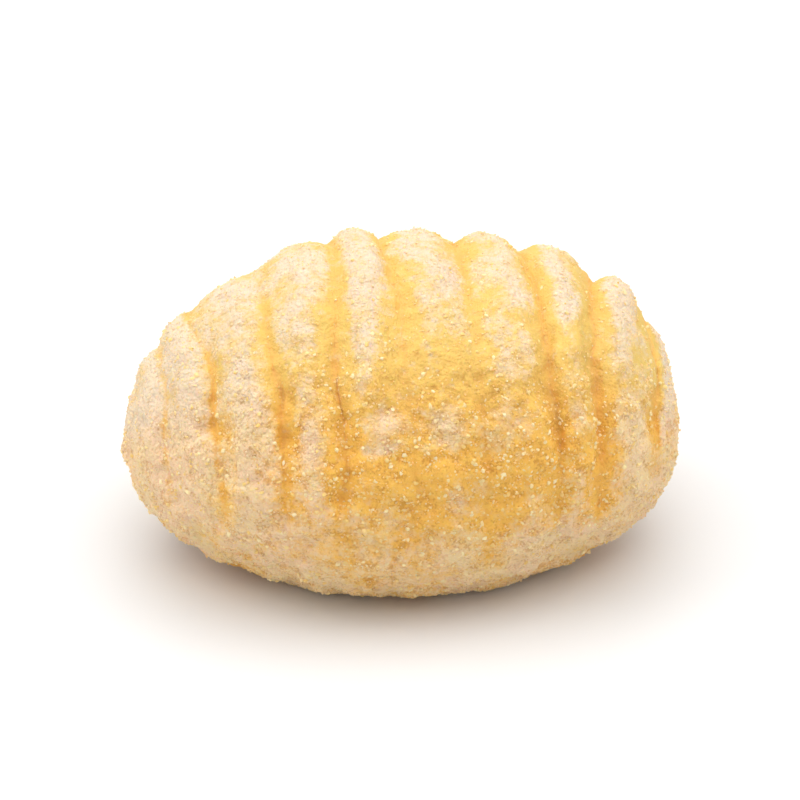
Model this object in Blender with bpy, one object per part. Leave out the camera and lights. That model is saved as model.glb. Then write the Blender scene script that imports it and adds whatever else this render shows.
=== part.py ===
"""A ridged potato gnocco: an oval of soft dough that was rolled over a grooved board.

The board leaves ridges over its back, and the thumb that rolls it leaves a slot between
two smooth lips. The gnocco rests on the lips, slot down and ridges up, and its own weight
presses them flat. X runs along it, Y across it and Z up.

Run it with: blender --background --python part.py
"""

import functools
import math

import bmesh
import bpy
import numpy as np
from mathutils import Matrix, Vector, noise

# Driving sizes of the whole gnocco, in metres.
LENGTH = 0.030
WIDTH = 0.0202
HEIGHT = 0.0178

# Mesh: rings along the length, points round the girth, and how they close up at the ends and the slot.
RINGS = 76
GIRTH_POINTS = 60
RINGS_PER_GROOVE = 7
GROOVES_PER_HALF = RINGS / 2 / RINGS_PER_GROOVE
END_CROWDING = 7
SLOT_CROWDING = 0.82
SLOT_CROWDING_ANGLE = 0.62

# How full the oval is, where 2 is an ellipse: at its two ends, and in its section above and below.
LEFT_FULLNESS = 2.2
RIGHT_FULLNESS = 2.85
BACK_FULLNESS = 2.1
BELLY_FULLNESS = 2.35
BELLY_START = math.radians(107)
BELLY_FULL = math.radians(60)

# How far the two tips curl down towards the slot.
LEFT_CURL = 0.0014
RIGHT_CURL = 0.0009

# Grooves from left to right: where each crosses the back, how far right of that it is at the front, its
# depth as a share of GROOVE_DEPTH, and the degrees from the slot at which it has half faded on the front.
# The first and the last row are the two tips.
GROOVES = (
    (-0.0150, 0.0000, 0.00, 100),
    (-0.0130, 0.0002, 0.40, 100),
    (-0.0109, 0.0004, 1.00, 107),
    (-0.0075, 0.0003, 1.00, 101),
    (-0.0037, 0.0000, 1.00, 98),
    (-0.0006, 0.0000, 0.90, 137),
    (0.0034, 0.0008, 0.95, 150),
    (0.0070, 0.0009, 1.00, 104),
    (0.0103, -0.0005, 1.20, 98),
    (0.0134, 0.0000, 0.90, 100),
    (0.0150, 0.0000, 0.00, 100),
)
FULL_SHIFT_REACH = 0.74
GROOVE_DEPTH = 0.00086
GROOVE_SHARPNESS = 0.85
GROOVES_FADE = math.radians(32)
FAR_SIDE_END = math.radians(95)

# How the grooves wander.
WOBBLE = 0.00035
WOBBLES_ALONG = 4
WOBBLES_AROUND = 1.6
FULL_WOBBLE_REACH = 0.6

# Patches, each by its place along and around and its reach along and around. The grooves are rubbed down
# in one. In the others the dough stands proud or is dented.
RUBBED_PATCH = (-0.42, math.radians(165), 0.30, math.radians(40))
RUBBED_DOWN = 0.65
BUMPS = (
    (0.0006, (0.68, math.radians(150), 0.09, math.radians(45))),
    (-0.0003, (-0.44, math.radians(150), 0.16, math.radians(50))),
)

# The slot between the lips: one wall is steep, and the other leans back.
SLOT_DEPTH = 0.0046
STEEP_WALL = 0.0007
LEANING_WALL = 0.0010
WALL_SHARPNESS = 5
SLOT_REACH = 0.84
DEEPEST_REACH = 0.34
SLOT_LEAN = 0.26
SLOT_BOW = 0.0005
SLOT_BOW_BACK = 3
LIP_SWELL = 0.00038
LIP_ANGLE = math.radians(24)
LIP_SPREAD = math.radians(17)
LIP_FULL_REACH = 0.5

# Unevenness of hand-rolled dough: the size of a swelling and its height, and where the pattern starts.
SWELLINGS = ((0.0085, 0.00042), (0.0036, 0.00013))
SWELLING_START = Vector((12.4, 4.6, 4.2))

# The share of the largest radius below which all relief fades, so that both ends stay smooth.
SMOOTH_ENDS = 1 / 3

# How much of the lips is pressed flat against what the gnocco rests on, and how softly the flat begins.
FLAT_PRESS = 0.0003
FLAT_ROUNDING = 0.0003

DOUGH_COLOUR = (0.83, 0.53, 0.20, 1.0)
DOUGH_ROUGHNESS = 0.8


def clear_scene():
    for obj in list(bpy.data.objects):
        bpy.data.objects.remove(obj)


def smooth_step(low, high, value):
    """0 below low, 1 above high, and an even S-curve in between. It falls where low is over high."""
    share = min(1.0, max(0.0, (value - low) / (high - low)))
    return share * share * (3 - 2 * share)


def spread_along(share):
    """From -1 to 1 along the gnocco: even steps in the middle that close up towards each end."""
    return (END_CROWDING * share - share**END_CROWDING) / (END_CROWDING - 1)


def spread_around(angle):
    """Draws the points near the slot, at angle 0, closer together."""
    near = math.exp(-((angle / SLOT_CROWDING_ANGLE) ** 2))
    return angle * (1 - SLOT_CROWDING * near)


def girth(along):
    """The girth's radius as a share of its largest, fuller at the right end than at the left."""
    fullness = LEFT_FULLNESS + (RIGHT_FULLNESS - LEFT_FULLNESS) * (along + 1) / 2
    return math.sqrt(max(0.0, 1 - abs(along) ** fullness))


@functools.cache
def groove_table():
    """The table of grooves by columns. A groove's number counts from the middle, and its nudge is how far
    its place is from an even one.
    """
    places, leans, depths, ends = np.array(GROOVES).T
    numbers = np.arange(len(GROOVES)) - len(GROOVES) // 2.0
    numbers[[0, -1]] = -GROOVES_PER_HALF, GROOVES_PER_HALF
    nudges = places - spread_along(numbers / GROOVES_PER_HALF) * LENGTH / 2
    return {"number": numbers, "nudge": nudges, "lean": leans, "depth": depths, "end": ends}


def read_grooves(share, column):
    """A column of the table at this share of the length, read between the grooves too."""
    table = groove_table()
    return float(np.interp(share * GROOVES_PER_HALF, table["number"], table[column]))


def groove_shift(share, angle):
    """How far along a point is moved from its even place, so that each groove lies where the table says.

    Nothing moves at the tips, where the rings lie close together.
    """
    shift = read_grooves(share, "nudge") - read_grooves(share, "lean") * math.sin(angle)
    shift *= smooth_step(1.0, FULL_SHIFT_REACH, abs(share))
    around = Vector((0, math.cos(angle), math.sin(angle))) * WOBBLES_AROUND
    wobble = WOBBLE * noise.noise(around + Vector((share * WOBBLES_ALONG, 0, 0)))
    return shift + wobble * smooth_step(1.0, FULL_WOBBLE_REACH, abs(share))


def section(angle):
    """The section's radius as a share of an ellipse's: rounder over the back, and fuller in the belly."""
    belly = smooth_step(math.cos(BELLY_START), math.cos(BELLY_FULL), math.cos(angle))
    fullness = BACK_FULLNESS + (BELLY_FULLNESS - BACK_FULLNESS) * belly
    return (abs(math.sin(angle)) ** fullness + abs(math.cos(angle)) ** fullness) ** (-1 / fullness)


def in_patch(share, angle, patch):
    """1 in the middle of a patch, and less and less away from it."""
    place, around, length, spread = patch
    apart = math.remainder(angle - around, 2 * math.pi)
    return math.exp(-(((share - place) / length) ** 2) - (apart / spread) ** 2)


def groove_cut(share, angle):
    """How deep the board has cut here: not at all on a crest, and sharply between two crests."""
    end = math.radians(read_grooves(share, "end")) if angle < 0 else FAR_SIDE_END
    strength = smooth_step(end - GROOVES_FADE, end + GROOVES_FADE, abs(angle))
    strength *= read_grooves(share, "depth") * (1 - RUBBED_DOWN * in_patch(share, angle, RUBBED_PATCH))
    crest = abs(math.sin(math.pi * share * GROOVES_PER_HALF)) ** GROOVE_SHARPNESS
    return GROOVE_DEPTH * strength * (1 - crest)


def slot_cut(share, angle, radius):
    """How deep the slot goes here. It keeps its width as the girth narrows, and ends gently."""
    wall = LEANING_WALL if angle > 0 else STEEP_WALL
    inside = 1 / (1 + abs(angle * radius / wall) ** WALL_SHARPNESS)
    return SLOT_DEPTH * inside * smooth_step(SLOT_REACH, DEEPEST_REACH, abs(share))


def slot_bow(share, angle):
    """The slot isn't straight: its middle bows to one side and its ends to the other."""
    along_slot = 1 - SLOT_BOW_BACK * share**2
    return SLOT_BOW * along_slot * math.exp(-((angle / LIP_ANGLE) ** 2))


def lip_swell(share, angle):
    """The two lips stand a little proud on each side of the slot."""
    beside = math.exp(-(((abs(angle) - LIP_ANGLE) / LIP_SPREAD) ** 2))
    return LIP_SWELL * beside * smooth_step(1.0, LIP_FULL_REACH, abs(share))


def unevenness(point):
    """The swellings and hollows of soft dough."""
    height = 0.0
    for size, swell in SWELLINGS:
        height += swell * noise.noise(point / size + SWELLING_START)
    return height


def dough_point(share, angle):
    """Where the dough's surface lies, for a share of the length from -1 to 1 and an angle from the slot.

    Positive angles are on the +Y side, and the back is at half a turn.
    """
    along = spread_along(share) + groove_shift(share, angle) / (LENGTH / 2)
    radius = girth(along)
    half_width = WIDTH / 2 * radius * section(angle)
    half_height = HEIGHT / 2 * radius * section(angle)
    outward = Vector((0, math.sin(angle), -math.cos(angle)))
    point = Vector((along * LENGTH / 2, half_width * outward.y, half_height * outward.z))
    point.z -= (LEFT_CURL if along < 0 else RIGHT_CURL) * along**2
    cut = slot_cut(share, angle, half_width)
    proud = lip_swell(share, angle) - groove_cut(share, angle) + unevenness(point)
    proud += sum(height * in_patch(share, angle, patch) for height, patch in BUMPS)
    aside = Vector((0, SLOT_LEAN * cut + slot_bow(share, angle), 0))
    return point + (outward * (proud - cut) + aside) * min(1.0, radius / SMOOTH_ENDS)


def shape_dough(mesh):
    """Moves each point of a unit ball, whose poles are the gnocco's ends, to its place on the dough."""
    for vertex in mesh.verts:
        share = 1 - 2 * math.acos(max(-1.0, min(1.0, vertex.co.x))) / math.pi
        angle = spread_around(math.atan2(vertex.co.y, -vertex.co.z))
        vertex.co = dough_point(share, angle)


def box_of(mesh):
    low = Vector(min(v.co[axis] for v in mesh.verts) for axis in range(3))
    high = Vector(max(v.co[axis] for v in mesh.verts) for axis in range(3))
    return low, high


def pressed(height):
    """How high over the flat a point ends up. The flat begins gently, so that it has no sharp rim."""
    if height > 2 * FLAT_ROUNDING:
        return height - FLAT_ROUNDING
    return max(0.0, height) ** 2 / (4 * FLAT_ROUNDING)


def press_flat_and_centre(mesh):
    """Presses the lips flat, and gives the gnocco its named sizes, with its base's middle at the origin."""
    floor = box_of(mesh)[0].z + FLAT_PRESS
    for vertex in mesh.verts:
        vertex.co.z = floor + pressed(vertex.co.z - floor)
    low, high = box_of(mesh)
    sizes = high - low
    base = Vector(((low.x + high.x) / 2, (low.y + high.y) / 2, floor))
    bmesh.ops.translate(mesh, verts=mesh.verts, vec=-base)
    fit = Vector((LENGTH / sizes.x, WIDTH / sizes.y, HEIGHT / sizes.z))
    bmesh.ops.scale(mesh, verts=mesh.verts, vec=fit)


def dough_material():
    material = bpy.data.materials.new("dough")
    material.use_nodes = True
    surface = material.node_tree.nodes["Principled BSDF"]
    surface.inputs["Base Color"].default_value = DOUGH_COLOUR
    surface.inputs["Roughness"].default_value = DOUGH_ROUGHNESS
    surface.inputs["Metallic"].default_value = 0.0
    return material


def make_gnocco(collection):
    mesh = bmesh.new()
    poles_on_x = Matrix.Rotation(math.pi / 2, 4, "Y")
    bmesh.ops.create_uvsphere(
        mesh, u_segments=GIRTH_POINTS, v_segments=RINGS, radius=1.0, matrix=poles_on_x
    )
    shape_dough(mesh)
    press_flat_and_centre(mesh)
    bmesh.ops.triangulate(mesh, faces=mesh.faces, quad_method="SHORT_EDGE")
    data = bpy.data.meshes.new("gnocco")
    mesh.to_mesh(data)
    mesh.free()
    data.shade_smooth()
    data.materials.append(dough_material())
    gnocco = bpy.data.objects.new("gnocco", data)
    collection.objects.link(gnocco)
    return gnocco


def main():
    clear_scene()
    collection = bpy.data.collections.new("potato_gnocco")
    bpy.context.scene.collection.children.link(collection)
    make_gnocco(collection)


main()
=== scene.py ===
# %% [markdown]
# # A ridged potato gnocco
#
# Gnocchi are small dumplings of mashed potato, flour and egg. A cook cuts a rope of dough into
# pillows and rolls each one over a grooved board with a thumb. The board leaves ridges over its
# back, and the thumb leaves a slot beneath. Semolina keeps the dumplings from sticking together.
#
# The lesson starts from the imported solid, which fixes the dumpling's size and place. It then
# models the dough finely, sticks semolina and flour to it, and lights it on a white surface.

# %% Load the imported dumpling
import math

import bmesh
import bpy
import numpy as np
from mathutils import Matrix, Vector, noise


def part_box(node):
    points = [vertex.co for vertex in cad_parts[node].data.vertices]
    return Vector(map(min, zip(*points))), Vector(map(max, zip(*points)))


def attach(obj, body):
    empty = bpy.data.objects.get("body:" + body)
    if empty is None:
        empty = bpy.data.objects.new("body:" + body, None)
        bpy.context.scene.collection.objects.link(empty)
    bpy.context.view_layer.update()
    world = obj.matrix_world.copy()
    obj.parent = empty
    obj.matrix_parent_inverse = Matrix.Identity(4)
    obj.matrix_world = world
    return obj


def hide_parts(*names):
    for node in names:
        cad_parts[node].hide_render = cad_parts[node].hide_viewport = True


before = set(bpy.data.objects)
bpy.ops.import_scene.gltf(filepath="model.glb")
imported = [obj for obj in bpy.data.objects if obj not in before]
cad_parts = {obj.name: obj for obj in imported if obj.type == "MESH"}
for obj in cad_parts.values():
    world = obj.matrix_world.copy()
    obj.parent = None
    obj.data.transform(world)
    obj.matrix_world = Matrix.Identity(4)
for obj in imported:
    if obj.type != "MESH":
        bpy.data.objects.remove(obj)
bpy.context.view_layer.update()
gnocco_low, gnocco_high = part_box("gnocco")
LENGTH, WIDTH, HEIGHT = gnocco_high - gnocco_low
MM = 0.001
print(f"the dumpling is {LENGTH / MM:.1f} by {WIDTH / MM:.1f} by {HEIGHT / MM:.1f} mm")

# %% [markdown]
# ## Small helpers
#
# Two kinds of help are needed all along. `ease` is an S-curve between two limits, the way that
# soft dough passes from one level to another. `clouds` reads Blender's own noise at many points
# at once, because everything on hand-made food is a little uneven.

# %% Easing and noise


def ease(low, high, value):
    """0 at low, 1 at high, and an even S-curve in between, for numbers or arrays."""
    share = np.clip((value - low) / (high - low), 0.0, 1.0)
    return share * share * (3 - 2 * share)


def clouds(points, size, start=0.0):
    """Noise of about -0.5 to 0.5 at each point, in patches of the given size."""
    places = np.asarray(points, float) / size + start
    return np.fromiter((noise.noise(Vector(place)) for place in places), float, len(places))


# %% [markdown]
# ## A ball of even squares
#
# The dough is one closed skin. A UV sphere has two poles where its faces shrink to slivers, and
# an icosphere has only triangles. A cube that is subdivided and blown up to a ball has neither:
# its faces stay nearly square everywhere, so that fine relief looks the same all over. The
# tangent spreads the cube's lines, which would otherwise crowd together at its corners.

# %% Blow up a cube
CUTS = 127


def make_ball():
    ball = bmesh.new()
    bmesh.ops.create_cube(ball, size=2.0)
    bmesh.ops.subdivide_edges(ball, edges=ball.edges, cuts=CUTS, use_grid_fill=True)
    for vertex in ball.verts:
        spread = Vector(math.tan(side * math.pi / 4) for side in vertex.co)
        vertex.co = spread.normalized()
    return ball


ball = make_ball()
print(f"the ball has {len(ball.faces)} faces")

# %% [markdown]
# ## Where each point lies on the dumpling
#
# Two numbers place a point. `share` runs from -1 at the left end to 1 at the right end, and
# `angle` runs round the girth from the slot, which is underneath at 0, to the back at half a
# turn, and is negative on the front. Points are drawn towards the slot, because its walls need
# more of them.

# %% Read share and angle from the ball
SLOT_CROWDING = 0.82
SLOT_CROWDING_ANGLE = 0.62

on_ball = np.array([vertex.co for vertex in ball.verts])
share = 1 - 2 * np.arccos(np.clip(on_ball[:, 0], -1, 1)) / math.pi
angle = np.arctan2(on_ball[:, 1], -on_ball[:, 2])
angle = angle * (1 - SLOT_CROWDING * np.exp(-((angle / SLOT_CROWDING_ANGLE) ** 2)))
aside, below = np.sin(angle), np.cos(angle)
turn = np.stack([np.zeros_like(angle), aside, -below], axis=1)
print(f"{len(share)} points, turned from {angle.min():.2f} to {angle.max():.2f} radians")

# %% [markdown]
# ## The oval
#
# A pillow of dough is fuller than an ellipsoid. A superellipse is the usual way to say so: its
# exponent is 2 for an ellipse, and a larger one fills the corners. This dumpling is fuller at
# its right end than at its left, and its belly is fuller than its back in the middle, but
# leaner than its back towards the ends. The thumb also curls the two tips down a little
# towards the slot.

# %% Girth along the length, and section round it
END_CROWDING = 7
LEFT_FULLNESS = 2.2
RIGHT_FULLNESS = 2.85
BACK_FULLNESS = 2.1
BELLY_FULLNESS = 2.35
BELLY_TRIM = 0.5
TRIM_FULL_REACH = 0.45
BELLY_START = math.radians(107)
BELLY_FULL = math.radians(60)
LEFT_CURL = 1.4 * MM
RIGHT_CURL = 0.9 * MM


def spread_along(share):
    """Even steps in the middle of the dumpling that close up towards each end."""
    return (END_CROWDING * share - share**END_CROWDING) / (END_CROWDING - 1)


def girth(along):
    """The radius as a share of the largest one."""
    fullness = LEFT_FULLNESS + (RIGHT_FULLNESS - LEFT_FULLNESS) * (along + 1) / 2
    return np.sqrt(np.clip(1 - np.abs(along) ** fullness, 0, 1))


belly = ease(math.cos(BELLY_START), math.cos(BELLY_FULL), below)
fullness_below = BELLY_FULLNESS - BELLY_TRIM * ease(0.0, TRIM_FULL_REACH, np.abs(share))
section_fullness = BACK_FULLNESS + (fullness_below - BACK_FULLNESS) * belly
section = np.abs(aside) ** section_fullness + np.abs(below) ** section_fullness
section = section ** (-1 / section_fullness)
print(f"the section bulges by up to {section.max() - 1:.1%}")

# %% [markdown]
# ## Where the grooves run
#
# The board's ribs are parallel and even, but the dough is dragged over them, so each groove
# leans and wanders a little, and the ridges aren't equally wide. A short table
# states the grooves one by one: where each crosses the back, how far it has moved to the right
# when it reaches the front, how deep it is, and how far down the front it comes. The first and
# the last row are the two tips. The grooves are put in place by moving the points of the mesh
# along the dumpling, which keeps the lines of the mesh running along each groove. Nothing moves
# at the tips, where the lines lie close together.

# %% Shift the points along
GROOVES_PER_HALF = 38 / 7
GROOVES = (
    # place, lean, depth, angle at which it ends
    (-15.0, 0.0, 0.0, 100),
    (-13.0, 0.2, 0.65, 90),
    (-10.9, 0.9, 1.0, 110),
    (-7.5, 0.8, 1.0, 101),
    (-3.7, 0.0, 1.0, 98),
    (-0.6, 0.5, 0.9, 137),
    (3.4, 0.4, 0.95, 150),
    (7.0, 0.9, 1.0, 104),
    (10.3, -0.5, 1.2, 98),
    (13.4, 0.0, 0.9, 100),
    (15.0, 0.0, 0.0, 100),
)
FULL_SHIFT_REACH = 0.74
WOBBLE = 0.35 * MM
WOBBLES_ALONG = 4
WOBBLES_AROUND = 1.6
FULL_WOBBLE_REACH = 0.6

groove_places, groove_leans, groove_depths, groove_ends = np.array(GROOVES).T
groove_numbers = np.arange(len(GROOVES)) - len(GROOVES) // 2.0
groove_numbers[[0, -1]] = -GROOVES_PER_HALF, GROOVES_PER_HALF
even_places = spread_along(groove_numbers / GROOVES_PER_HALF) * LENGTH / 2

number = share * GROOVES_PER_HALF
shift = np.interp(number, groove_numbers, groove_places * MM - even_places)
shift -= np.interp(number, groove_numbers, groove_leans * MM) * aside
shift *= ease(1.0, FULL_SHIFT_REACH, np.abs(share))
wobble_place = np.stack([share * WOBBLES_ALONG, below * WOBBLES_AROUND, aside * WOBBLES_AROUND], 1)
shift += WOBBLE * clouds(wobble_place, 1.0) * ease(1.0, FULL_WOBBLE_REACH, np.abs(share))
along = spread_along(share) + shift / (LENGTH / 2)
radius = girth(along)
print(f"points move by {shift.min() / MM:.1f} to {shift.max() / MM:.1f} mm")

# %% [markdown]
# ## How deep the grooves are
#
# A gnocchi board has narrow ribs, so the dumpling has broad rounded crests with narrow grooves
# between them. A sine raised to a power below one gives both. The grooves are deepest over the
# back. Down the sides they go on as faint marks, and they end at the lips, which the board
# doesn't touch. In one patch near the back a finger rubbed them down. `furrow` says how deep
# each point lies, and `line` picks out the bottom of each groove, where the dough is creased.

# %% Cut the grooves
GROOVE_DEPTH = 0.86 * MM
GROOVE_SHARPNESS = 0.85
GROOVES_FADE = math.radians(32)
FAINT_DEPTH = 0.33
FAINT_END = math.radians(70)
LINE_WIDTH = 0.2
FAR_SIDE_END = math.radians(95)
WANDER = 0.012
WANDER_SIZE = 1.6 * MM
RUBBED_PATCH = (-0.42, math.radians(165), 0.30, math.radians(40), 0.65)

rough_place = np.stack([along * LENGTH / 2, aside * radius * WIDTH / 2, -below * radius * HEIGHT / 2], 1)
number = (share + WANDER * clouds(rough_place, WANDER_SIZE, start=9.1)) * GROOVES_PER_HALF
crest = np.abs(np.sin(math.pi * number)) ** GROOVE_SHARPNESS


def patch(place, around, length, spread, strength):
    """A soft oval patch on the skin, given by share and angle."""
    apart = np.abs(np.angle(np.exp(1j * (angle - around))))
    return strength * np.exp(-(((share - place) / length) ** 2) - (apart / spread) ** 2)


end = np.radians(np.interp(number, groove_numbers, groove_ends))
end = np.where(angle > 0, FAR_SIDE_END, end)
strength = ease(end - GROOVES_FADE, end + GROOVES_FADE, np.abs(angle))
faint = FAINT_DEPTH * ease(FAINT_END - GROOVES_FADE / 2, FAINT_END + GROOVES_FADE / 2, np.abs(angle))
strength = np.maximum(strength, faint)
strength *= np.interp(number, groove_numbers, groove_depths) * (1 - patch(*RUBBED_PATCH))
furrow = strength * (1 - crest)
line = np.clip(strength, 0, 1) * np.exp(-((np.sin(math.pi * number) / LINE_WIDTH) ** 2))
print(f"the deepest groove is {GROOVE_DEPTH * furrow.max() / MM:.2f} mm")

# %% [markdown]
# ## The slot and its lips
#
# The thumb drags one side of the dough over the other, so the slot isn't a plain cut: one wall
# is steep, the other leans back, and the whole slot bows a little, one way in the middle and
# the other way at the ends. The lips beside it swell, and the dumpling rests on them. All of it
# narrows with the girth and closes before the ends.

# %% Cut the slot and raise the lips
SLOT_DEPTH = 4.6 * MM
STEEP_WALL = 0.7 * MM
LEANING_WALL = 1.0 * MM
WALL_SHARPNESS = 5
SLOT_REACH = 0.84
DEEPEST_REACH = 0.34
SLOT_LEAN = 0.26
SLOT_BOW = 0.5 * MM
LIP_SWELL = 0.38 * MM
LIP_ANGLE = math.radians(24)
LIP_SPREAD = math.radians(17)
LIP_FULL_REACH = 0.5

half_width = WIDTH / 2 * radius * section
wall = np.where(angle > 0, LEANING_WALL, STEEP_WALL)
inside_slot = 1 / (1 + np.abs(angle * half_width / wall) ** WALL_SHARPNESS)
slot_cut = SLOT_DEPTH * inside_slot * ease(SLOT_REACH, DEEPEST_REACH, np.abs(share))
slot_bow = SLOT_BOW * (1 - 3 * share**2) * np.exp(-((angle / LIP_ANGLE) ** 2))
beside_slot = np.exp(-(((np.abs(angle) - LIP_ANGLE) / LIP_SPREAD) ** 2))
lip_swell = LIP_SWELL * beside_slot * ease(1.0, LIP_FULL_REACH, np.abs(share))
print(f"the slot is {slot_cut.max() / MM:.1f} mm deep")

# %% [markdown]
# ## A finger's mark
#
# The front was rubbed by a finger while the dough was soft: a shallow hollow whose edges are
# small steps, sharp below and on the left. Noise makes the edges wavy.

# %% Press the mark
MARK_DEPTH = 0.15 * MM
MARK_SHARE = (-0.34, 0.60)
MARK_ANGLES = (math.radians(86), math.radians(131))
MARK_EDGE = math.radians(6)
MARK_WAVES = math.radians(9)
MARK_WAVE_SIZE = 3.1 * MM
MARK_FADES = (0.12, 0.30)

wave = MARK_WAVES * clouds(rough_place, MARK_WAVE_SIZE, start=2.2)
front_angle = np.where(angle < 0, -angle, 0) + wave
mark = ease(MARK_SHARE[0], MARK_SHARE[0] + MARK_FADES[0], share)
mark *= ease(MARK_SHARE[1], MARK_SHARE[1] - MARK_FADES[1], share)
mark *= ease(MARK_ANGLES[0], MARK_ANGLES[0] + MARK_EDGE, front_angle)
mark *= ease(MARK_ANGLES[1] + MARK_EDGE, MARK_ANGLES[1], front_angle)
print(f"the mark is {MARK_DEPTH / MM:.2f} mm deep")

# %% [markdown]
# ## Swellings
#
# Nothing rolled by hand is regular. Two sizes of noise swell and sink the whole skin, and so do
# two patches: the ridge beside the right tip stands proud, and the back is dented on the left.
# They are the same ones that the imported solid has, so that both agree. All relief fades where
# the girth closes, which keeps the tips of the two ends smooth.

# %% Put the dough together
SWELLINGS = ((8.5 * MM, 0.42 * MM), (3.6 * MM, 0.13 * MM))
SWELLING_START = (12.4, 4.6, 4.2)
BUMPS = (
    (0.68, math.radians(150), 0.09, math.radians(45), 0.6 * MM),
    (-0.44, math.radians(150), 0.16, math.radians(50), -0.3 * MM),
)
SMOOTH_ENDS = 1 / 3

skin = np.stack([along * LENGTH / 2, half_width * aside, -HEIGHT / 2 * radius * section * below], 1)
skin[:, 2] -= np.where(along < 0, LEFT_CURL, RIGHT_CURL) * along**2
proud = lip_swell - GROOVE_DEPTH * furrow - slot_cut - MARK_DEPTH * mark
proud += sum(patch(*bump) for bump in BUMPS)
for size, height in SWELLINGS:
    proud += height * clouds(skin, size, SWELLING_START)
fade = np.minimum(1.0, radius / SMOOTH_ENDS)
skin += turn * (proud * fade)[:, None]
skin[:, 1] += (SLOT_LEAN * slot_cut + slot_bow) * fade
print(f"the skin reaches from {skin.min(0) / MM} to {skin.max(0) / MM} mm")

# %% [markdown]
# ## From points to a mesh
#
# The ball's faces are kept, and only its points move. The skin is pressed flat where the lips
# rest. The flat begins gently, since soft dough has no sharp rim. Then the skin is fitted to the
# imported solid's box. The faces and their smooth normals are now those of the dumpling, and the
# next steps push points out and in along these normals.

# %% Move the ball's points onto the skin
FLAT_PRESS = 0.3 * MM
FLAT_ROUNDING = 0.6 * MM


def press_flat(points):
    """Presses the lowest points flat, with a gentle start instead of a rim."""
    height = points[:, 2] - points[:, 2].min() - FLAT_PRESS
    gentle = np.maximum(height, 0) ** 2 / (4 * FLAT_ROUNDING)
    points[:, 2] = np.where(height > 2 * FLAT_ROUNDING, height - FLAT_ROUNDING, gentle)


def fit_to_box(points):
    """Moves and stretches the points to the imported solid's box."""
    low, high = points.min(0), points.max(0)
    return np.array(gnocco_low) + (points - low) * np.array(gnocco_high - gnocco_low) / (high - low)


def set_points(mesh, points):
    mesh.vertices.foreach_set("co", np.asarray(points, np.float32).ravel())
    mesh.update()


def get_normals(mesh):
    normals = np.empty(len(mesh.vertices) * 3, np.float32)
    mesh.vertex_normals.foreach_get("vector", normals)
    return normals.reshape(-1, 3)


dough_mesh = bpy.data.meshes.new("dough_skin")
ball.to_mesh(dough_mesh)
ball.free()
press_flat(skin)
skin = fit_to_box(skin)
set_points(dough_mesh, skin)
normals = get_normals(dough_mesh)
print(f"the dough has {len(dough_mesh.polygons)} faces")

# %% [markdown]
# ## How each part of the dough was treated
#
# Fingers, the board, the table and the air each leave their mark on the dough. A map says, for
# every point, how much of a treatment it got. `bare` is where fingers took the flour off and
# golden dough shows: on the front, on the proud ridge and on the far side. `under` stayed damp,
# since it lies on the table, and its deeper colour is partly painted shade under the belly. The
# back, which the air reached, is drier, and its map also carries painted light into the colours.
# `floury` patches got more flour, and `crumbs` are spots of the front to which loose flour stuck
# again.

# %% Map the treatments
BARE_PATCHES = (
    (0.15, math.radians(-110), 0.42, math.radians(32), 0.8),
    (0.09, math.radians(-148), 0.14, math.radians(14), 0.5),
    (-0.12, math.radians(-141), 0.14, math.radians(9), 0.4),
    (0.72, math.radians(-146), 0.10, math.radians(24), 0.4),
    (-0.15, math.radians(108), 0.34, math.radians(30), 0.7),
)
FLOURY_PATCHES = (
    (0.05, math.radians(178), 0.30, math.radians(14), 0.3),
    (-0.50, math.radians(-104), 0.24, math.radians(30), 0.4),
    (0.70, math.radians(-98), 0.12, math.radians(32), 0.4),
    (0.28, math.radians(-63), 0.09, math.radians(15), 0.8),
)
CRUMBY_PATCHES = (
    (-0.06, math.radians(-119), 0.06, math.radians(6), 0.6),
    (-0.10, math.radians(-111), 0.13, math.radians(2.5), 0.6),
    (0.09, math.radians(-117), 0.05, math.radians(5), 0.4),
    (0.22, math.radians(-110), 0.07, math.radians(7), 0.5),
    (0.37, math.radians(-102), 0.05, math.radians(7), 0.4),
    (0.12, math.radians(-93), 0.10, math.radians(4), 0.3),
)
BLOTCH_SIZE = 2.4 * MM
STREAKS_ALONG = 22
STREAKS_AROUND = 1.5
RUBBED_MARK = 0.8
ENDS_BEGIN, ENDS_FULL = 0.5, 0.85
LIPS_BEGIN, LIPS_FULL = math.radians(75), math.radians(35)
UNDER_BEGINS, UNDER_FULL = math.radians(33), math.radians(22)
UNDER_RAGGED = math.radians(14)
SIDES_BEGIN, SIDES_FULL = math.radians(160), math.radians(115)
MORE_ON_LIPS = 0.4
DRY_BEGINS, DRY_FULL = math.radians(105), math.radians(150)
VALLEY_WIDTH = (1.15, 0.5)
WALLS_OF_SLOT = 1 / 1.5


def add_patches(patches):
    return sum(patch(*one_patch) for one_patch in patches)


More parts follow.
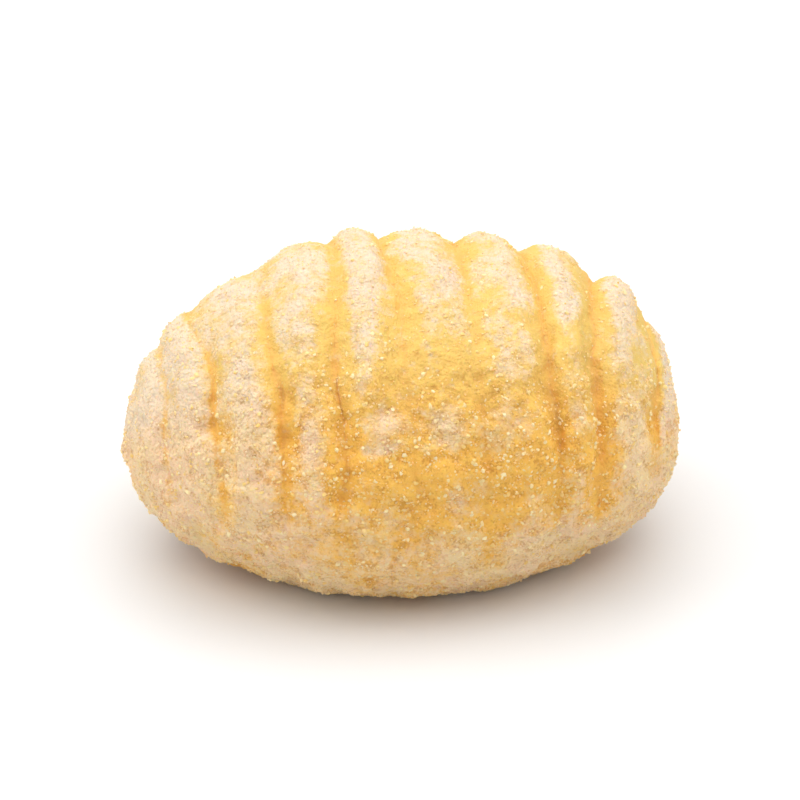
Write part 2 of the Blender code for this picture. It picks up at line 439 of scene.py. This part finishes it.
around = np.abs(angle)
blotch = clouds(skin, BLOTCH_SIZE, start=3.3)
streak_place = np.stack([share * STREAKS_ALONG, below * STREAKS_AROUND, aside * STREAKS_AROUND], 1)
ends = ease(ENDS_BEGIN, ENDS_FULL, np.abs(share))
lips = ease(LIPS_BEGIN, LIPS_FULL, around)
under = ease(UNDER_BEGINS, UNDER_FULL, around + UNDER_RAGGED * blotch) * (1 - ends)
sides = ease(SIDES_BEGIN, SIDES_FULL, around) * (1 + MORE_ON_LIPS * lips)
# The back: drier dough, and its colours below also carry painted light.
dry_and_painted_light = ease(DRY_BEGINS, DRY_FULL, around)
in_slot = np.clip(slot_cut / SLOT_DEPTH / WALLS_OF_SLOT, 0, 1)
bare = np.maximum(RUBBED_MARK * mark, add_patches(BARE_PATCHES))
maps = {
    "bare": bare,
    "bare sides": bare * sides,
    "sides": sides,
    "ends": ends,
    "dry_and_painted_light": dry_and_painted_light,
    "furrow": furrow,
    "valley": np.clip(furrow * (VALLEY_WIDTH[0] + VALLEY_WIDTH[1] * share), 0, 1),
    "line": line,
    "blotch": blotch,
    "streaks": clouds(streak_place, 1.0, start=6.6) * (1 - lips),
    "floury": add_patches(FLOURY_PATCHES),
    "crumbs": add_patches(CRUMBY_PATCHES),
}
print(f"{bare.mean():.0%} of the dough is bare, {dry_and_painted_light.mean():.0%} dry and {under.mean():.0%} damp")

# %% [markdown]
# ## Where flour and semolina lie
#
# Flour is the fine powder on crests, ends and belly, and grit is how thickly the coarse semolina
# grains lie. Each is a base to which the maps add, or from which they take, as two short tables
# say. Flour keeps off what is rubbed, damp or grooved. Grit sticks best to the rubbed sides. Both
# the relief and the colours read the results.

# %% Weigh the maps
FLOUR_BASE = 0.65
FLOUR_WEIGHTS = {
    "ends": 0.3,
    "dry_and_painted_light": 0.1,
    "bare": -0.7,
    "valley": -1.1,
    "line": -0.35,
    "blotch": 0.5,
    "streaks": 0.4,
    "floury": 1.0,
    "crumbs": 1.0,
}
GRIT_BASE = 0.30
GRIT_WEIGHTS = {
    "sides": 0.42,
    "bare sides": 0.28,
    "blotch": 0.7,
    "furrow": -0.2,
    "line": -0.4,
    "crumbs": 1.0,
}
DAMP_TAKES = 0.9
SLOT_TAKES = 0.8
LEAST_GRIT = 0.04
GRIT_LOST_BELOW = 0.6


def weigh(base, weights):
    return base + sum(weight * maps[name] for name, weight in weights.items())


flour = weigh(FLOUR_BASE, FLOUR_WEIGHTS) - DAMP_TAKES * under
flour = np.clip(flour * (1 - SLOT_TAKES * in_slot), 0, 1)
grit = weigh(GRIT_BASE, GRIT_WEIGHTS) * (1 - GRIT_LOST_BELOW * in_slot) * (1 - GRIT_LOST_BELOW * under)
grit = np.clip(grit, LEAST_GRIT, 1)
print(f"flour covers {flour.mean():.0%}, grit {grit.mean():.0%}")

# %% [markdown]
# ## Fine relief
#
# Mashed potato is never smooth. Three finer sizes of lumps follow, down to the width of a few
# faces, and faint lines that the board dragged along the grooves. The board smoothed the back,
# so the lumps stand higher on the sides. What is finer than that is left to a bump in the
# material, since more faces would only slow the file down.

# %% Lumps and drag lines
LUMPS = ((1.7 * MM, 0.15 * MM), (0.8 * MM, 0.11 * MM), (0.45 * MM, 0.07 * MM))
ROUGHER_SIDES = 0.7
DRAG_ALONG = 62
DRAG_AROUND = 3
DRAG_HEIGHT = 0.06 * MM
DRAG_GAIN = 1.2
SMOOTHER_SLOT = 0.5

relief = np.zeros_like(share)
for size, height in LUMPS:
    relief += height * (1 + ROUGHER_SIDES * sides) * clouds(skin, size, start=5.7)
drag_place = np.stack([share * DRAG_ALONG, below * DRAG_AROUND, aside * DRAG_AROUND], 1)
relief += DRAG_HEIGHT * clouds(drag_place, 1.0) * np.clip(strength * DRAG_GAIN, 0, 1)
relief *= 1 - SMOOTHER_SLOT * in_slot
relief *= ease(0.0, 2 * FLAT_ROUNDING, skin[:, 2] - gnocco_low.z)
skin = fit_to_box(skin + normals * relief[:, None])
set_points(dough_mesh, skin)
normals = get_normals(dough_mesh)
print(f"lumps stand up to {relief.max() / MM:.2f} mm proud")

# %% [markdown]
# ## The dough as a piece
#
# The maps are stored on the mesh as attributes, which a material can read by name. The piece
# is shown in place of the imported solid, which is hidden but stays in the scene. The piece
# replaces the imported solid where it is seen, while the solid stays what the dumpling collides
# with.

# %% Make the dough's object
def store(mesh, name, values):
    layer = mesh.attributes.new(name, "FLOAT", "POINT")
    layer.data.foreach_set("value", np.asarray(values, np.float32))


def add_piece(name, mesh):
    piece = bpy.data.objects.new(name, mesh)
    bpy.context.scene.collection.objects.link(piece)
    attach(piece, "root")
    return piece


store(dough_mesh, "furrow", np.clip(furrow, 0, 1))
store(dough_mesh, "line", line)
store(dough_mesh, "flour", flour)
# Slot and underside: partly damp dough, partly painted shade, which the material turns a deeper gold.
store(dough_mesh, "damp", np.maximum(SLOT_TAKES * in_slot, under))
store(dough_mesh, "dry_and_painted_light", dry_and_painted_light)
store(dough_mesh, "sides", sides)
dough_mesh.shade_smooth()
dough = add_piece("potato_dough", dough_mesh)
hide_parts("gnocco")
stored = [layer.name for layer in dough_mesh.attributes if layer.data_type == "FLOAT"]
print(f"maps on the dough: {stored}")

# %% [markdown]
# ## Building materials
#
# A material here is a short chain of nodes. These helpers keep it readable: `add_node` makes a
# node and fills its inputs, where an input may be a number, a colour or another node's output,
# and `blend_colours` mixes two colours by a factor.

# %% Node helpers


def add_node(tree, kind, inputs=None, **settings):
    node = tree.nodes.new(kind)
    for name, value in settings.items():
        setattr(node, name, value)
    for name, value in (inputs or {}).items():
        if isinstance(value, bpy.types.NodeSocket):
            tree.links.new(value, node.inputs[name])
        else:
            node.inputs[name].default_value = value
    return node


def blend_colours(tree, factor, first, second):
    """Colours of a shader mix are its sockets 6 and 7, and its coloured output is number 2."""
    return add_node(tree, "ShaderNodeMix", {0: factor, 6: first, 7: second}, data_type="RGBA").outputs[2]


def calculate(tree, operation, first, second=0.0, clamp=False):
    inputs = {0: first, 1: second}
    return add_node(tree, "ShaderNodeMath", inputs, operation=operation, use_clamp=clamp).outputs[0]


def read_map(tree, name):
    return add_node(tree, "ShaderNodeAttribute", attribute_name=name).outputs["Fac"]


def speckle(tree, size, detail=2.0, roughness=0.5):
    """Noise in patches of a real size, in metres, on the object's own coordinates."""
    where = add_node(tree, "ShaderNodeTexCoord").outputs["Object"]
    inputs = {"Vector": where, "Scale": 1 / size, "Detail": detail, "Roughness": roughness}
    return add_node(tree, "ShaderNodeTexNoise", inputs).outputs["Fac"]


def cells(tree, size):
    """Small cells of a real size: the way to the middle of one's cell, and the cell's random number."""
    where = add_node(tree, "ShaderNodeTexCoord").outputs["Object"]
    node = add_node(tree, "ShaderNodeTexVoronoi", {"Vector": where, "Scale": 1 / size})
    random_number = add_node(tree, "ShaderNodeSeparateColor", {"Color": node.outputs["Color"]})
    return node.outputs["Distance"], random_number.outputs["Red"]


def sharpen(tree, value, low, high):
    """Stretches the values from low to high over 0 to 1."""
    inputs = {"Value": value, "From Min": low, "From Max": high}
    return add_node(tree, "ShaderNodeMapRange", inputs).outputs["Result"]


def start_material(name):
    material = bpy.data.materials.new(name)
    material.use_nodes = True
    return material, material.node_tree, material.node_tree.nodes["Principled BSDF"]


# %% [markdown]
# ## The dough's colours
#
# Egg and potato make the dough a warm yellow, and flour dries its surface to a pale cream. Flour
# lies in fine mottles and not as an even coat, so its map is broken up by two sizes of noise,
# and by cells as small as a speck of flour. The flesh turns a deeper gold in the grooves, which
# is painted shade. It turns the same gold in the slot and under the belly, which is partly damp
# dough and partly painted shade. The back is drier, and its duller gold and paler cream are
# partly painted light, for the way strong light from above washes out its colour. The orange
# along the creases is painted shade.

# %% Flesh and dusting
GOLD = (0.94, 0.53, 0.10, 1)
# Deeper gold: painted shade in the grooves, slot and underside, and damp dough in slot and underside.
SHADED_AND_DAMP_GOLD = (0.83, 0.41, 0.05, 1)
# Duller gold of the back: drier dough and painted light from the bright top.
DRY_GOLD_AND_PAINTED_LIGHT = (0.79, 0.53, 0.14, 1)
# Orange painted as shade along the bottom of the creases.
CREASE_SHADE_ORANGE = (0.87, 0.45, 0.11, 1)
CREAM = (0.94, 0.69, 0.37, 1)
PINK_CREAM = (0.94, 0.66, 0.41, 1)
# Paler cream of the back: drier flour and painted light from the bright top.
PALE_CREAM_AND_PAINTED_LIGHT = (0.82, 0.65, 0.46, 1)
MOTTLE_SIZE, FINE_MOTTLE_SIZE = 0.9 * MM, 0.4 * MM
MOTTLE_STRENGTH = 1.3
DUST_SIZE = 0.22 * MM
DUST_STRENGTH = 0.2
PINK_SIZE = 2.8 * MM
CREASE_SHADE_STRENGTH = 0.6

dough_finish, tree, surface = start_material("potato_dough")
mottle = speckle(tree, MOTTLE_SIZE, 4.0, 0.6)
mottle = calculate(tree, "ADD", mottle, speckle(tree, FINE_MOTTLE_SIZE, 3.0, 0.7))
mottle = calculate(tree, "SUBTRACT", mottle, 1.0)
from_middle, random_number = cells(tree, DUST_SIZE)
dust = calculate(tree, "MULTIPLY", calculate(tree, "SUBTRACT", random_number, 0.5), DUST_STRENGTH)
powder = calculate(tree, "MULTIPLY", mottle, MOTTLE_STRENGTH)
powder = calculate(tree, "ADD", read_map(tree, "flour"), powder)
powder = sharpen(tree, calculate(tree, "ADD", powder, dust), 0.15, 0.85)

# Painted shade: the flesh turns a deeper gold down in the grooves.
flesh = blend_colours(tree, sharpen(tree, read_map(tree, "furrow"), 0.15, 0.75), GOLD, SHADED_AND_DAMP_GOLD)
# Partly damp dough, partly painted shade: a deeper gold in the slot and under the belly.
flesh = blend_colours(tree, read_map(tree, "damp"), flesh, SHADED_AND_DAMP_GOLD)
# Partly drier dough, partly painted light: a duller gold on the back, where strong light washes colour
# out.
flesh = blend_colours(tree, read_map(tree, "dry_and_painted_light"), flesh, DRY_GOLD_AND_PAINTED_LIGHT)
# Painted shade: orange along the bottom of each groove.
crease_shade = calculate(tree, "MULTIPLY", read_map(tree, "line"), CREASE_SHADE_STRENGTH)
flesh = blend_colours(tree, crease_shade, flesh, CREASE_SHADE_ORANGE)
dusting = blend_colours(tree, sharpen(tree, speckle(tree, PINK_SIZE), 0.4, 0.6), CREAM, PINK_CREAM)
# Partly drier flour, partly painted light: a paler cream on the back.
dusting = blend_colours(tree, read_map(tree, "dry_and_painted_light"), dusting, PALE_CREAM_AND_PAINTED_LIGHT)
colour = blend_colours(tree, powder, flesh, dusting)
print(f"flesh and dusting: {len(tree.nodes)} nodes")

# %% [markdown]
# ## Pits and crumbs
#
# Close to, mashed potato is a crumb of tiny hills with pits between them. Light gets lost in the
# pits, so their colour is multiplied by a painted shade, more on the rough sides than over the
# smooth back, and not in the creases, which have painted shade of their own in orange. A bump
# raises the hills and the dust. Light also wanders a little way into dough before it comes out
# again, and subsurface scattering does that. Together with the deeper gold and orange painted
# into the grooves as shade, it makes them glow rather than turn grey.

# %% Pits, bump and glow
PIT_SHADE = (0.79, 0.68, 0.59, 1)
CRUMB_SIZE, FINE_CRUMB_SIZE = 0.30 * MM, 0.14 * MM
PIT_SIZE = 0.9 * MM
PITS_EVERYWHERE = 0.25
CRUMB_HEIGHT = 0.10 * MM
DUST_ON_DOUGH = 0.3
DOUGH_ROUGHNESS, POWDER_ROUGHNESS = 0.6, 0.25
FLESH_DEPTH = 0.9 * MM

crumb = speckle(tree, CRUMB_SIZE, 4.0, 0.65)
crumb = calculate(tree, "ADD", crumb, speckle(tree, FINE_CRUMB_SIZE, 2.0))
pits = calculate(tree, "ADD", crumb, speckle(tree, PIT_SIZE, 3.0, 0.6))
pits = sharpen(tree, pits, 1.5, 1.15)
rough = calculate(tree, "ADD", read_map(tree, "sides"), PITS_EVERYWHERE)
pits = calculate(tree, "MULTIPLY", pits, rough)
pits = calculate(tree, "MULTIPLY", pits, calculate(tree, "SUBTRACT", 1.0, read_map(tree, "line")))
inputs = {0: pits, 6: colour, 7: PIT_SHADE}
colour = add_node(tree, "ShaderNodeMix", inputs, data_type="RGBA", blend_type="MULTIPLY").outputs[2]
tree.links.new(colour, surface.inputs["Base Color"])

dust = calculate(tree, "MULTIPLY", from_middle, calculate(tree, "ADD", powder, DUST_ON_DOUGH))
inputs = {"Height": calculate(tree, "SUBTRACT", crumb, dust), "Strength": 1.0, "Distance": CRUMB_HEIGHT}
bump = add_node(tree, "ShaderNodeBump", inputs)
tree.links.new(bump.outputs["Normal"], surface.inputs["Normal"])
roughness = calculate(tree, "MULTIPLY", powder, POWDER_ROUGHNESS)
roughness = calculate(tree, "ADD", roughness, DOUGH_ROUGHNESS)
tree.links.new(roughness, surface.inputs["Roughness"])
surface.inputs["Subsurface Weight"].default_value = 0.4
surface.inputs["Subsurface Radius"].default_value = (1.0, 0.5, 0.2)
surface.inputs["Subsurface Scale"].default_value = FLESH_DEPTH
surface.inputs["Specular IOR Level"].default_value = 0.3
dough_mesh.materials.append(dough_finish)
print(f"dough material: {len(tree.nodes)} nodes")

# %% [markdown]
# ## Grains of semolina
#
# Semolina is cracked hard wheat: small angular grains, glassy and yellow where they broke and
# white where they are floury. Thousands of them lie on the dough. Modelling each one by hand is
# out of the question, and a particle system would vanish from the exported model. So a few
# grains are made from an icosphere whose points are pushed about, and joined copies of them are
# strewn over the skin, thickest where the grit map says.

# %% Crack a few grains
GRAIN_KINDS = 16
CRACKING = 0.30
BREADTHS = (0.7, 1.0)
THICKNESSES = (0.5, 0.85)


def crack_grains(rng, create):
    """Points of several uneven grains about 2 across, which all share one list of faces."""
    kinds = []
    for _ in range(GRAIN_KINDS):
        grain = bmesh.new()
        create(grain)
        for vertex in grain.verts:
            vertex.co *= 1 + rng.uniform(-CRACKING, CRACKING)
        flattened = (1.0, rng.uniform(*BREADTHS), rng.uniform(*THICKNESSES))
        bmesh.ops.scale(grain, verts=grain.verts, vec=flattened)
        grain.verts.index_update()
        kinds.append([vertex.co[:] for vertex in grain.verts])
        faces = [[vertex.index for vertex in face.verts] for face in grain.faces]
        grain.free()
    return np.array(kinds), np.array(faces)


rng = np.random.default_rng(17)
grain_kinds, grain_faces = crack_grains(
    rng, lambda grain: bmesh.ops.create_icosphere(grain, subdivisions=1, radius=1.0)
)
print(f"{len(grain_kinds)} kinds of grain with {len(grain_faces)} faces each")

# %% [markdown]
# ## Strewing
#
# A grain's place is a triangle of the skin, drawn by its area times the map, and a random spot
# in that triangle. Each grain is turned at random, sunk part of its depth into the soft dough,
# and left out where it would reach below the surface that the dumpling rests on. Small grains
# are commoner than large ones. Each grain keeps a random tint, and how damp the dough is where
# it lies.

# %% Strew grains over the skin
BASE_CLEARANCE = 0.02 * MM
SEMOLINA_COUNT = 9500
SEMOLINA_WIDTHS = (0.14 * MM, 0.35 * MM)
SEMOLINA_SUNK = (0.5, 0.85)


def random_turns(rng, count):
    """Rotation matrices spread evenly over all directions, from random unit quaternions."""
    w, x, y, z = (q := rng.normal(size=(4, count))) / np.linalg.norm(q, axis=0)
    rows = [
        [1 - 2 * (y * y + z * z), 2 * (x * y - w * z), 2 * (x * z + w * y)],
        [2 * (x * y + w * z), 1 - 2 * (x * x + z * z), 2 * (y * z - w * x)],
        [2 * (x * z - w * y), 2 * (y * z + w * x), 1 - 2 * (x * x + y * y)],
    ]
    return np.moveaxis(np.array(rows), 2, 0)


def random_spots(rng, count, chance):
    """Places on the skin with the normals and the flour there, thickest where chance is high."""
    dough_mesh.calc_loop_triangles()
    corners = np.empty(len(dough_mesh.loop_triangles) * 3, np.int32)
    dough_mesh.loop_triangles.foreach_get("vertices", corners)
    corners = corners.reshape(-1, 3)
    a, b, c = skin[corners[:, 0]], skin[corners[:, 1]], skin[corners[:, 2]]
    weight = np.linalg.norm(np.cross(b - a, c - a), axis=1) * chance[corners].mean(1)
    picked = rng.choice(len(corners), count, p=weight / weight.sum())
    u, v = rng.random((2, count, 1))
    flip = u + v > 1
    u, v = np.where(flip, 1 - u, u), np.where(flip, 1 - v, v)
    spots = a[picked] + u * (b - a)[picked] + v * (c - a)[picked]
    return spots, normals[corners[picked, 0]], flour[corners[picked, 0]]


def strew(name, rng, kinds, faces, count, widths, sunk, chance):
    """Joins many grains, between two widths and sunk by between two shares, into one mesh."""
    spots, outward, dry_spot = random_spots(rng, count, chance)
    half = (widths[0] + (widths[1] - widths[0]) * rng.random(count) ** 2) / 2
    shapes = kinds[rng.integers(len(kinds), size=count)] * half[:, None, None]
    shapes = np.einsum("nij,nkj->nki", random_turns(rng, count), shapes)
    lift = half * (1 - 2 * rng.uniform(*sunk, count))
    points = shapes + (spots + outward * lift[:, None])[:, None, :]
    kept = points[:, :, 2].min(1) > gnocco_low.z + BASE_CLEARANCE
    points = points[kept]
    joined = faces[None] + (np.arange(len(points)) * kinds.shape[1])[:, None, None]
    mesh = bpy.data.meshes.new(name)
    mesh.from_pydata(points.reshape(-1, 3).tolist(), [], joined.reshape(-1, faces.shape[1]).tolist())
    mesh.update()
    store(mesh, "tint", np.repeat(rng.random(len(points)), kinds.shape[1]))
    store(mesh, "damp", np.repeat(1 - dry_spot[kept], kinds.shape[1]))
    print(f"{name}: {len(points)} grains, {len(mesh.polygons)} faces")
    return mesh


semolina_mesh = strew(
    "semolina_grains",
    rng,
    grain_kinds,
    grain_faces,
    count=SEMOLINA_COUNT,
    widths=SEMOLINA_WIDTHS,
    sunk=SEMOLINA_SUNK,
    chance=grit,
)
add_piece("semolina_grains", semolina_mesh)

# %% [markdown]
# ## Specks of flour
#
# Between the grains lie finer specks, too small to need more than eight sides. They start from
# a sphere of four by two segments, which is an octahedron, and gather on the floury spots. They
# are what makes the outline of the dumpling fuzzy.

# %% Strew specks
SPECK_COUNT = 24000
SPECK_WIDTHS = (0.08 * MM, 0.19 * MM)
SPECK_SUNK = (0.2, 0.65)
SPECKS_EVERYWHERE, SPECKS_WITH_GRIT, SPECKS_WITH_FLOUR = 0.05, 0.35, 0.65
speck_kinds, speck_faces = crack_grains(
    rng, lambda grain: bmesh.ops.create_uvsphere(grain, u_segments=4, v_segments=2, radius=1.0)
)
speck_chance = SPECKS_WITH_GRIT * grit + SPECKS_WITH_FLOUR * flour + SPECKS_EVERYWHERE
speck_mesh = strew(
    "flour_specks",
    rng,
    speck_kinds,
    speck_faces,
    count=SPECK_COUNT,
    widths=SPECK_WIDTHS,
    sunk=SPECK_SUNK,
    chance=speck_chance,
)
add_piece("flour_specks", speck_mesh)

# %% [markdown]
# ## The grains' finish
#
# Each grain has its own tint, from glassy amber to floury white. Flat faces catch the light one
# by one, which gives the sparkle of real semolina, so these pieces aren't shaded smooth. Flour
# drinks up water, so a speck on damp dough turns golden, while one on dry flour stays pale.

# %% Semolina and flour materials
AMBER = (0.90, 0.58, 0.18, 1)
WHEAT = (0.93, 0.66, 0.29, 1)
WHITE_WHEAT = (0.95, 0.76, 0.44, 1)

semolina_finish, tree, surface = start_material("semolina")
tint = read_map(tree, "tint")
glassy = blend_colours(tree, sharpen(tree, tint, 0.0, 0.5), AMBER, WHEAT)
tree.links.new(
    blend_colours(tree, sharpen(tree, tint, 0.5, 1.0), glassy, WHITE_WHEAT), surface.inputs["Base Color"]
)
surface.inputs["Roughness"].default_value = 0.42
surface.inputs["Subsurface Weight"].default_value = 0.35
surface.inputs["Subsurface Radius"].default_value = (1.0, 0.7, 0.4)
surface.inputs["Subsurface Scale"].default_value = 0.25 * MM
semolina_mesh.materials.append(semolina_finish)

FLOUR_WHITE = (0.90, 0.72, 0.48, 1)
FLOUR_PINK = (0.89, 0.66, 0.42, 1)
DAMP_FLOUR = (0.95, 0.62, 0.21, 1)
DAMPEST = 0.8
flour_finish, tree, surface = start_material("flour")
speck_colour = blend_colours(tree, read_map(tree, "tint"), FLOUR_PINK, FLOUR_WHITE)
damp = calculate(tree, "MULTIPLY", read_map(tree, "damp"), DAMPEST)
tree.links.new(blend_colours(tree, damp, speck_colour, DAMP_FLOUR), surface.inputs["Base Color"])
surface.inputs["Roughness"].default_value = 0.9
surface.inputs["Specular IOR Level"].default_value = 0.2
speck_mesh.materials.append(flour_finish)
print(f"materials: {[material.name for material in (dough_finish, semolina_finish, flour_finish)]}")

# %% [markdown]
# ## A white surface
#
# The dumpling is shown on a plain white surface, as food is in a catalogue. The surface is the
# stage, not part of the dumpling. It is wide enough to fill the frame from above and from low.

# %% Floor
FLOOR_SIZE = 3.0
FLOOR_WHITE = (0.76, 0.76, 0.76, 1)


def make_floor():
    plane = bmesh.new()
    bmesh.ops.create_grid(plane, x_segments=1, y_segments=1, size=FLOOR_SIZE / 2)
    bmesh.ops.translate(plane, verts=plane.verts, vec=(0, 0, gnocco_low.z))
    mesh = bpy.data.meshes.new("white_surface")
    plane.to_mesh(mesh)
    plane.free()
    material, _, surface = start_material("white_surface")
    surface.inputs["Base Color"].default_value = FLOOR_WHITE
    surface.inputs["Roughness"].default_value = 0.9
    surface.inputs["Specular IOR Level"].default_value = 0.1
    mesh.materials.append(material)
    floor = bpy.data.objects.new("white_surface", mesh)
    bpy.context.scene.collection.objects.link(floor)
    return floor


floor = make_floor()
print(f"floor: {FLOOR_SIZE} m square")

# %% [markdown]
# ## Soft light
#
# A catalogue picture is lit inside a white tent. Most light comes through its roof, which makes
# the crests bright and draws a soft shadow all round the foot. The tent's four walls glow too,
# the left one most, and the world stands for the white of the room. They fill the shadow. The
# plain Standard view keeps whites white, where the default view would grey them.

# %% World, softboxes and view
ROOM_STRENGTH = 0.30
TENT = (
    # name, place from the dumpling's middle, size, power in watts
    ("tent_roof", (0.0, 0.0, 0.70), 1.1, 6.5),
    ("left_wall", (-0.50, 0.0, 0.35), 0.5, 1.3),
    ("right_wall", (0.50, 0.0, 0.35), 0.5, 1.0),
    ("back_wall", (0.0, 0.50, 0.35), 0.5, 0.6),
    ("front_wall", (0.0, -0.50, 0.35), 0.5, 0.4),
)
middle = (gnocco_low + gnocco_high) / 2

world = bpy.data.worlds.new("white_tent")
bpy.context.scene.world = world
world.use_nodes = True
world.node_tree.nodes["Background"].inputs["Color"].default_value = (1, 1, 1, 1)
world.node_tree.nodes["Background"].inputs["Strength"].default_value = ROOM_STRENGTH


def add_softbox(name, place, size, power):
    light = bpy.data.lights.new(name, "AREA")
    light.shape = "DISK"
    light.size = size
    light.energy = power
    softbox = bpy.data.objects.new(name, light)
    softbox.location = middle + Vector(place)
    softbox.rotation_euler = (-Vector(place)).to_track_quat("-Z", "Y").to_euler()
    bpy.context.scene.collection.objects.link(softbox)
    return softbox


for part_of_tent in TENT:
    add_softbox(*part_of_tent)
bpy.context.scene.view_settings.view_transform = "Standard"
print(f"lit by the room and {[name for name, *_ in TENT]}")

# %% [markdown]
# ## Camera
#
# The camera looks down on the front of the dumpling from about a third of a right angle, almost
# square to its length. A long lens from a short way off keeps its shape free of distortion.

# %% Camera
AZIMUTH = math.radians(-4)
ELEVATION = math.radians(32)
DISTANCE = 0.28
FRAME_SHARE = 0.70

towards_camera = Vector(
    (
        math.sin(AZIMUTH) * math.cos(ELEVATION),
        -math.cos(AZIMUTH) * math.cos(ELEVATION),
        math.sin(ELEVATION),
    )
)
camera = bpy.data.objects.new("camera", bpy.data.cameras.new("camera"))
camera.data.lens = camera.data.sensor_width * DISTANCE / (LENGTH / FRAME_SHARE)
camera.data.clip_start = 0.01
camera.location = middle + towards_camera * DISTANCE
camera.rotation_euler = towards_camera.to_track_quat("Z", "Y").to_euler()
bpy.context.scene.collection.objects.link(camera)
bpy.context.scene.camera = camera
print(f"lens {camera.data.lens:.0f} mm at {DISTANCE} m")
